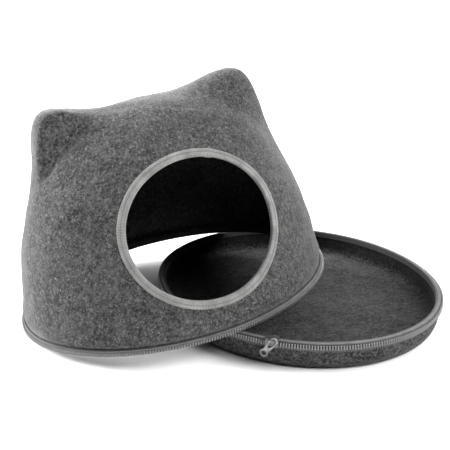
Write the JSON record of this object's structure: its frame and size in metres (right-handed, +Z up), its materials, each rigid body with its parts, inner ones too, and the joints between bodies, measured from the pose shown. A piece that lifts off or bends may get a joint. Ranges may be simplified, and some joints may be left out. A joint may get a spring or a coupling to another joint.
{
  "type": "felt cat cave",
  "caption": "Moulded grey felt cat cave with two ears and a round bound door, unzipped and leaning on its shallow round felt tray.",
  "frame": {"origin": "centre of the tray's flat underside, which rests on the floor", "axes": "+Z up; the cover's door faces -Y, turned a little towards +X; the tray lies at the origin and the cover leans on its rim from the -X side"},
  "size_m": [0.5489, 0.4078, 0.3066],
  "materials": {
    "felt": "thick pressed wool felt, heathered salt and pepper grey, with loose surface fibres",
    "ribbed_binding": "flat ribbed woven tape, mid grey",
    "zip_tape": "closely woven zip tape, mid grey",
    "zip_teeth": "grey moulded teeth, slight sheen",
    "zip_metal": "bright nickel-plated casting"
  },
  "bodies": {
    "root": {"cover_felt": "felt", "door_binding": "ribbed_binding", "cover_hem_binding": "ribbed_binding", "cover_zip_tape": "zip_tape", "cover_zip_teeth": "zip_teeth", "tray_felt": "felt", "tray_rim_binding": "ribbed_binding", "tray_zip_tape": "zip_tape", "tray_zip_teeth": "zip_teeth", "zip_slider": "zip_metal", "zip_pull": "zip_metal"}
  },
  "joints": []
}
